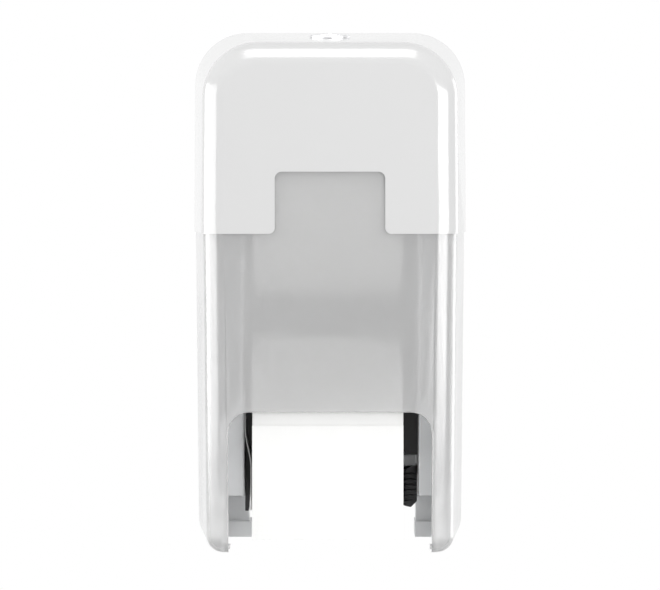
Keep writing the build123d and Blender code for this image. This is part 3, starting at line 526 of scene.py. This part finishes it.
spring_low, spring_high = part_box("gate_spring")
wire_radius = 0.0005
turn_pitch = 0.0011
leg_step = 0.004
mean_radius = (spring_high.z - spring_low.z) / 2 - wire_radius
shape = wound(wire_radius, mean_radius, [(10.25, turn_pitch)])
open_edges = [edge for edge in shape.edges if edge.is_boundary]
first = [edge for edge in open_edges if edge.verts[0].co.z < 2 * turn_pitch]
last = [edge for edge in open_edges if edge.verts[0].co.z > 2 * turn_pitch]
drawn_out(shape, first, (0, -leg_step, 0), (0, -leg_step, 0))
drawn_out(shape, last, (-leg_step, 0, 0), (-leg_step, 0, 0))
set_at(capped(shape), (0, 0, 0), radians(200), "Z")
gate_spring_place = Vector((spring_low.x + wire_radius, gate_axis.y, gate_axis.z))
gate_spring = as_piece("gate_spring_wire", set_at(shape, gate_spring_place, pi / 2, "Y"),
                       "chassis", spring_steel)
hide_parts("gate_spring")


# Release spring
# Compression spring with closed ends on the bracket of the right cheek. It lifts the pull rod by
# its clip; the real spring shortens while the button is pushed, and this one keeps its length.
spring_low, spring_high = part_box("release_spring")
spring_height = spring_high.z - spring_low.z
wire_radius = 0.00045
mean_radius = (spring_high.x - spring_low.x) / 2 - wire_radius
free_turns = 7
closed_pitch = 2.1 * wire_radius
free_pitch = (spring_height - 2 * wire_radius - 2 * closed_pitch) / free_turns
shape = capped(wound(wire_radius, mean_radius,
                     [(1, closed_pitch), (free_turns, free_pitch), (1, closed_pitch)]))
spring_foot = Vector(((spring_low.x + spring_high.x) / 2, (spring_low.y + spring_high.y) / 2,
                      spring_low.z))
release_spring = as_piece("release_spring_wire",
                          set_at(shape, spring_foot + Vector((0, 0, wire_radius))),
                          "chassis", spring_steel)
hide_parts("release_spring")
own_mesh(release_spring)


# Release latch
# Grey slide in the right rail with the seat of the lower roll's right pin. Its arm holds the pull
# rod.
latch = as_piece("release_latch_slide", cad_shape("release_latch"), "release", grey)
eased(latch, 0.0005)
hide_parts("release_latch")


# Release button
# Black pad clipped to the latch. Its face has six bowed ridges for the finger, its top slopes and
# its lower outer corner is cut off.
button_low, button_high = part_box("release_button")
button_width = button_high.x - button_low.x
button_height = button_high.z - button_low.z
ridge_height = 0.0011
ridge_pitch = 0.0036
ridge_bow = 0.0012
ridges_low = 0.0030
ridges_high = 0.0245
rim_depth = 0.0012
face_y = button_low.y + ridge_height
button_shape = bmesh.new()
bmesh.ops.create_grid(button_shape, x_segments=18, y_segments=150, size=0.5)
for vert in button_shape.verts:
    across, along = vert.co.x + 0.5, vert.co.y + 0.5
    foot = 0.0045 * max(0.0, (across - 0.55) / 0.45) + 0.0016 * (1 - across) ** 2
    head = button_height - 0.0034 * max(0.0, 1 - across / 0.65)
    height = foot + along * (head - foot)
    bowed = height - ridges_low + ridge_bow * (2 * across - 1) ** 2
    ridge = max(0.0, 1 - abs((bowed / ridge_pitch) % 1.0 - 0.5) / 0.16)
    inside = min(across, 1 - across) / 0.1
    shown = min(1.0, max(0.0, inside)) * (0.0 if height > ridges_high or bowed < 0 else 1.0)
    crown = 0.0006 * (2 * across - 1) ** 4
    vert.co = Vector((button_low.x + across * button_width,
                      face_y + crown - ridge_height * shown * ridge ** 0.5,
                      button_low.z + height))
rim = [edge for edge in button_shape.edges if edge.is_boundary]
drawn_out(button_shape, rim, (0, rim_depth, 0), (0, button_high.y - face_y - rim_depth, 0))
capped(button_shape)
button = as_piece("release_button_pad", button_shape, "release", black)
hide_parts("release_button")


# Pull rod
# Steel wire from the latch's arm up to the heel of the right gate arm, its top end bent inwards.
rod_low, rod_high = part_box("pull_rod")
rod_radius = (rod_high.y - rod_low.y) / 2
bend_radius = 0.003
rod_chamfer = 0.0004
tip_share = 0.8
rod_place = Vector((rod_high.x - rod_radius, (rod_low.y + rod_high.y) / 2, rod_low.z))
shape = bmesh.new()
bmesh.ops.create_circle(shape, segments=16, radius=tip_share * rod_radius,
                        matrix=Matrix.Translation(rod_place))
end = drawn_out(shape, shape.edges[:], (0, 0, rod_chamfer))
ring = {vert for edge in end for vert in edge.verts}
bmesh.ops.scale(shape, verts=list(ring), vec=(1 / tip_share, 1 / tip_share, 1),
                space=Matrix.Translation(-rod_place))
straight = rod_high.z - rod_radius - bend_radius - rod_place.z - rod_chamfer
end = drawn_out(shape, end, (0, 0, straight))
bend = [item for edge in end for item in (*edge.verts, edge)]
bend_centre = (rod_place.x - bend_radius, rod_place.y, rod_high.z - rod_radius - bend_radius)
bend_end = bmesh.ops.spin(shape, geom=list(dict.fromkeys(bend)), cent=bend_centre,
                          axis=(0, -1, 0), angle=pi / 2, steps=8, use_merge=False,
                          use_duplicate=False)["geom_last"]
end = [item for item in bend_end if isinstance(item, bmesh.types.BMEdge)]
drawn_out(shape, end, (rod_low.x - bend_centre[0], 0, 0))
rod = as_piece("pull_rod_wire", capped(shape), "release", steel)
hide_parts("pull_rod")


# Rod clip
# Open ring of spring steel snapped into the rod's groove, above the release spring.
clip_low, clip_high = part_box("rod_clip")
clip_middle = (clip_low + clip_high) / 2
shape = bmesh.new()
section = [(0.00135, -0.00035), (0.0035, -0.0005), (0.0036, 0.0), (0.0035, 0.0005),
           (0.00135, 0.00035)]
points = [shape.verts.new((radius, 0, level)) for radius, level in section]
edges = [shape.edges.new(pair) for pair in zip(points, points[1:] + points[:1])]
bmesh.ops.spin(shape, geom=points + edges, cent=(0, 0, 0), axis=(0, 0, 1), angle=radians(300),
               steps=30, use_merge=False, use_duplicate=False)
clip = as_piece("rod_clip_ring", set_at(capped(shape), clip_middle, radians(120), "Z"),
                "release", spring_steel)
eased(clip, 0.0001)
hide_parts("rod_clip")


# Rolls
# Two rolls of white tissue wound on card cores. The layers show on the ends, and the outer sheet
# ends in a small step.
def tissue(name, colour):
    """Finish of soft paper: fibres, faint clouding and rows of pressed dots."""
    material, shader, place = new_finish(name)
    fibres = place.node("TexNoise", {}, {"Vector": place, "Scale": 900.0, "Detail": 3.0})
    cloud = place.node("TexNoise", {}, {"Vector": place, "Scale": 60.0, "Detail": 2.0})
    low = tuple(0.965 * part for part in colour)
    place.node(
        "Mix", {"data_type": "RGBA"}, {0: cloud, 6: (*low, 1.0), 7: (*colour, 1.0)}, 2
    ).into(shader, "Base Color")
    dots = place.node("TexVoronoi", {"feature": "F1"},
                      {"Vector": place, "Scale": 330.0, "Randomness": 0.15})
    (fibres * 0.1 + 0.85).into(shader, "Roughness")
    relief = fibres * 0.5 + dots * 1.2
    place.node(
        "Bump", {}, {"Strength": 0.6, "Distance": 0.00008, "Height": relief}
    ).into(shader, "Normal")
    shader.inputs["Sheen Weight"].default_value = 0.15
    return material


paper = tissue("white tissue", (0.94, 0.94, 0.93))
seeds = random.Random(11)
bore_radius = 0.01705
rings = 44
wrap_step = 0.00035
softness = 0.0002
for level, step_at in (("upper", 0.62), ("lower", 0.25)):
    roll_low, roll_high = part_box(f"{level}_roll_paper")
    roll_middle = (roll_low + roll_high) / 2
    roll_radius = (roll_high.z - roll_low.z) / 2
    half = (roll_high.x - roll_low.x) / 2
    profile = [(bore_radius, half - 0.0004)]
    for index in range(1, rings):
        radius = bore_radius + (roll_radius - bore_radius) * index / rings
        step = seeds.uniform(0.0, 0.0004)
        profile += [(radius - 0.0003, half - step), (radius, half - 0.3 * step)]
    profile += [(roll_radius - 0.0004, half - 0.0002), (roll_radius, half - 0.0008)]
    ends = [(radius, -level_x) for radius, level_x in reversed(profile)]
    skin = [(roll_radius, half * (1 - 2 * index / 12)) for index in range(1, 12)]
    shape = spun(profile + skin + ends, steps=120, closed=True)
    for vert in shape.verts:
        across = Vector((vert.co.x, vert.co.y, 0))
        share = (atan2(across.y, across.x) / (2 * pi) - step_at) % 1.0
        if across.length > 0.7 * roll_radius:
            soft = noise.noise(vert.co * 22 + Vector((3.1, 0, 7.7 * step_at)))
            inset = wrap_step * share + softness * (0.5 + 0.5 * soft)
            vert.co -= across.normalized() * inset
    shape = set_at(shape, roll_middle, pi / 2, "Y")
    roll = as_piece(f"{level}_roll_tissue", shape, f"{level}_roll", paper)
    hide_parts(f"{level}_roll_paper")


# Cores
# Tubes of grey-brown card, wound from strips whose seam runs round them in a long spiral.
card, card_shader, card_place = new_finish("grey card")
flecks = card_place.node("TexNoise", {}, {"Vector": card_place, "Scale": 480.0, "Detail": 4.0})
slant = card_place.node("Mapping", {}, {"Vector": card_place, "Rotation": (0.0, 0.0, 0.9)})
seam = card_place.node("TexWave", {"wave_type": "BANDS", "bands_direction": "X"},
                       {"Vector": slant, "Scale": 11.0, "Distortion": 0.0})
mottle = flecks * 0.8 + (seam ** 12) * 0.2
card_place.node(
    "Mix", {"data_type": "RGBA"},
    {0: mottle, 6: (0.46, 0.38, 0.28, 1.0), 7: (0.34, 0.27, 0.19, 1.0)}, 2
).into(card_shader, "Base Color")
card_shader.inputs["Roughness"].default_value = 0.9
card_place.node(
    "Bump", {}, {"Strength": 0.7, "Distance": 0.00005, "Height": mottle}
).into(card_shader, "Normal")
outer, inner, soft = 0.017, 0.0155, 0.0002
for level in ("upper", "lower"):
    core_low, core_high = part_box(f"{level}_roll_core")
    half = (core_high.x - core_low.x) / 2
    shape = spun([
        (inner, half - soft), (inner + soft, half), (outer - soft, half), (outer, half - soft),
        (outer, soft - half), (outer - soft, -half), (inner + soft, -half), (inner, soft - half),
    ], steps=72, closed=True)
    core = as_piece(f"{level}_roll_card", set_at(shape, (core_low + core_high) / 2, pi / 2, "Y"),
                    f"{level}_roll", card)
    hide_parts(f"{level}_roll_core")


# Plugs
# White moulded cups pressed into the ends of the cores, each with the pin that runs in a rail.
plug_white = moulded("plug plastic", (0.75, 0.76, 0.77), 0.38)
for level in ("upper", "lower"):
    for side in ("left", "right"):
        plug = as_piece(f"{level}_{side}_plug_cup", cad_shape(f"{level}_{side}_plug"),
                        f"{level}_roll", plug_white)
        eased(plug, 0.0004)
        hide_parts(f"{level}_{side}_plug")


# Paper tail
# The free end of the lower roll. It hangs from the front of the roll, keeps a little of the roll's
# curl, and its lower edge is torn along a line of perforations.
tail_low, tail_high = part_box("paper_tail")
tail_width, tail_length = tail_high.x - tail_low.x, tail_high.z - tail_low.z
tail_columns = 198
tooth_height = 0.0006
tail_shape = bmesh.new()
bmesh.ops.create_grid(tail_shape, x_segments=tail_columns, y_segments=60, size=0.5)
for vert in tail_shape.verts:
    across, down = vert.co.x, 0.5 - vert.co.y
    column = round((across + 0.5) * tail_columns)
    tooth = tooth_height * (column % 2) if down > 0.999 else 0.0
    curl = 0.0022 * max(0.0, down - 0.35) ** 2
    ripple = 0.00035 * down * noise.noise(Vector((across * 5, down * 3, 1.7)))
    vert.co = Vector((
        (tail_low.x + tail_high.x) / 2 + across * tail_width,
        (tail_low.y + tail_high.y) / 2 + curl + ripple,
        tail_high.z - down * tail_length + tooth,
    ))
tail = as_piece("paper_tail_sheet", tail_shape, "chassis", paper)
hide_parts("paper_tail")


# Lower cover
# Shell of frosted polycarbonate, through which the rolls show softly. Its edges are rounded where
# the arch cuts them. Its front keeps its triangles, because one face round the arch would fill it.
frosted_material, frosted, frosted_place = new_finish("frosted polycarbonate")
haze = frosted_place.node("TexNoise", {}, {"Vector": frosted_place, "Scale": 30.0, "Detail": 2.0})
frosted_place.node(
    "Mix", {"data_type": "RGBA"}, {0: haze, 6: shade(0.84), 7: shade(0.87)}, 2
).into(frosted, "Base Color")
frosted.inputs["Transmission Weight"].default_value = 0.68
(haze * 0.05 + 0.17).into(frosted, "Roughness")
frosted.inputs["IOR"].default_value = 1.55
frosted.inputs["Coat Weight"].default_value = 1.0
frosted.inputs["Coat Roughness"].default_value = 0.16
cover_shape = cad_shape("lower_cover", flat_faces=False)
arch_half_width = 0.0666
arch_edge_radius = 0.0013
front_rounded(cover_shape, arch_half_width, arch_edge_radius, 4)
lower_cover = as_piece("lower_cover_shell", cover_shape, "cover", frosted_material)
eased(lower_cover, 0.0004)
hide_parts("lower_cover")


# Upper cover
# Shell of white plastic from a polished mould, with the notch in its lower edge.
gloss = moulded("white gloss plastic", (0.66, 0.66, 0.66), 0.16, spread=0.02, relief=0.000002,
                coat=1.0)
upper_cover = as_piece("upper_cover_shell", cad_shape("upper_cover"), "cover", gloss)
eased(upper_cover, 0.0005)
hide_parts("upper_cover")


# Push nuts
# Four spring washers pressed on the pegs of the upper cover. Slits part their inner edge into
# teeth, which stand up and bite into the peg.
nut_low, nut_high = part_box("push_nuts")
nut_radius = (nut_high.z - nut_low.z) / 2
bite_radius = 0.00157
nut_thickness = 0.0003
nut_shapes = []
for side, depth, face_x in ((-1, 0.038, 0.0866), (1, 0.038, 0.0866),
                            (-1, 0.102, 0.0819), (1, 0.102, 0.0819)):
    shape = spun([(nut_radius, 0.0), (0.9 * nut_radius, 0.0), (0.62 * nut_radius, 0.00012),
                  (bite_radius, 0.00045)], steps=36)
    slits = []
    for face in shape.faces:
        centre = face.calc_center_median()
        step = round(degrees(atan2(centre.y, centre.x)) / 10 - 0.5)
        if centre.to_2d().length < 0.6 * nut_radius and step % 6 == 0:
            slits.append(face)
    bmesh.ops.delete(shape, geom=slits, context="FACES")
    bmesh.ops.recalc_face_normals(shape, faces=shape.faces)
    bmesh.ops.solidify(shape, geom=shape.faces, thickness=nut_thickness)
    base = min(vert.co.z for vert in shape.verts)
    bmesh.ops.translate(shape, verts=shape.verts, vec=(0, 0, -base))
    nut_shapes.append(set_at(shape, (side * face_x, -depth, (nut_low.z + nut_high.z) / 2),
                             -side * pi / 2, "Y"))
push_nuts = as_piece("push_nut_rings", joined(nut_shapes), "cover", spring_steel)
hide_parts("push_nuts")


# Lock housing
# Chrome-plated brass: a chamfered ring on the sloping top, and a threaded barrel through it.
chrome = drawn_metal("chrome plate", (0.9, 0.9, 0.91), 0.34, (1.0, 1.0, 3.0))
lock_seat = Vector((0.0, -0.065, 0.138313))
lock_tilt = radians(5.0)
housing_radius, bore_radius = 0.0094, 0.00708
ring = spun([
    (bore_radius, 0.0016), (bore_radius + 0.0002, 0.0018), (0.0122, 0.0018), (0.0128, 0.0017),
    (0.0130, 0.0015), (0.0126, 0.00145), (0.0126, 0.0012), (0.0134, 0.00115), (0.0135, 0.001),
    (0.0135, 0.0004), (0.0131, 0.0003), (0.0131, 0.00005), (housing_radius, 0.00005),
    (housing_radius, -0.0175), (housing_radius - 0.0005, -0.018), (bore_radius, -0.018),
], steps=96, closed=True)
thread_pitch = 0.001
thread_turns = 14
turn_steps = 36
thread_top = -0.0028
thread = bmesh.new()
tooth = [thread.verts.new((housing_radius + reach, 0, rise))
         for reach, rise in ((-0.0001, -0.00038), (0.0001, 0.0), (-0.0001, 0.00038))]
tooth_edges = [thread.edges.new(pair) for pair in zip(tooth, tooth[1:] + tooth[:1])]
bmesh.ops.spin(thread, geom=tooth + tooth_edges, cent=(0, 0, 0), axis=(0, 0, 1),
               dvec=(0, 0, -thread_pitch / turn_steps), angle=2 * pi * thread_turns,
               steps=turn_steps * thread_turns, use_merge=False, use_duplicate=False)
set_at(capped(thread), (0, 0, thread_top))
housing = as_piece("lock_housing", set_at(joined([ring, thread]), lock_seat, lock_tilt), "cover",
                   chrome)
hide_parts("lock_body")


# Lock nut
# Hexagon nut that clamps the housing from inside.
lock_nut = as_piece("lock_nut_hexagon", cad_shape("lock_nut"), "cover", steel)
eased(lock_nut, 0.0005)
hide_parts("lock_nut")


# Lock cylinder
# Turned brass plug with the key slot in its polished face.
cylinder = as_piece("lock_cylinder_plug", cad_shape("lock_cylinder"), "lock", chrome)
eased(cylinder, 0.0003)
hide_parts("lock_cylinder")


# Lock cam
# Punched steel cam on the cylinder's end, which turns behind the strike of the back plate.
cam = as_piece("lock_cam_plate", cad_shape("lock_cam"), "lock", steel)
eased(cam, 0.0004)
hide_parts("lock_cam")


# Cam screw
# Pan-head screw with a cross recess that holds the cam from below.
cam_face_drop = 0.02208
shape = cross_screw(head_radius=0.004, head_height=0.0026, shank_radius=0.002,
                    shank_length=0.009)
set_at(shape, (0, 0, 0), pi, "X")
bmesh.ops.translate(shape, verts=shape.verts, vec=(0, 0, -cam_face_drop))
cam_screw = as_piece("cam_screw_cross", set_at(shape, lock_seat, lock_tilt), "lock", steel)
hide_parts("cam_screw")
